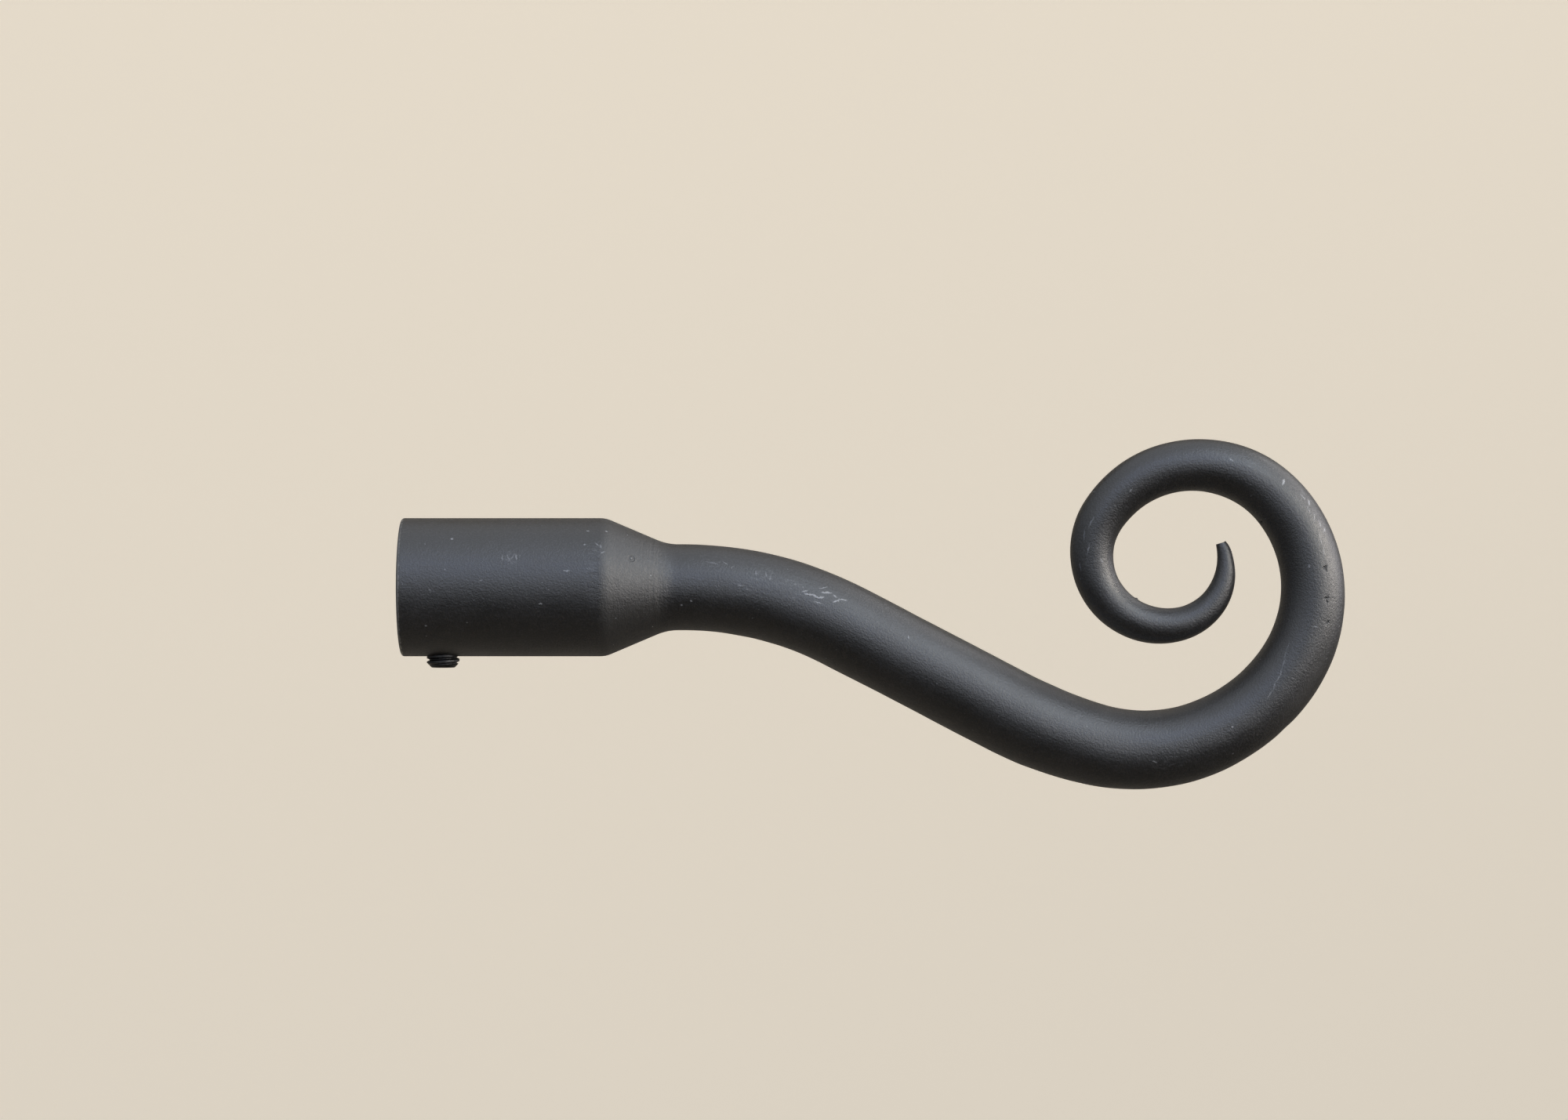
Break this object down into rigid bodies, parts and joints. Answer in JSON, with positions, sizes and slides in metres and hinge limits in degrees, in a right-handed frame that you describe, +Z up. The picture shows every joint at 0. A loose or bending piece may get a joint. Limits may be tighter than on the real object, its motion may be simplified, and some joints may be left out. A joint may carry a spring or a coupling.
{
  "type": "curtain pole finial",
  "caption": "Shepherd's crook finial for a round curtain pole: a bored collar clamped by a grub screw, with a tapering scroll.",
  "frame": {"origin": "centre of the bore's mouth, in the plane of the collar's open end", "axes": "+X along the bore and the pole towards the crook, +Z up; the crook lies in the XZ plane, with the grub screw on the -Z side"},
  "size_m": [0.1731, 0.0254, 0.0645],
  "materials": {
    "satin_black_steel": "satin black lacquer over forged and ground steel",
    "black_oxide_screw": "black oxide"
  },
  "bodies": {
    "finial": {"crook_finial": "satin_black_steel"},
    "clamp_screw": {"grub_screw": "black_oxide_screw"}
  },
  "joints": [
    {"name": "grub_screw_travel", "type": "slide", "parent": "finial", "child": "clamp_screw", "axis": [0, 0, 1], "range_m": [-0.0025, 0.001]}
  ]
}
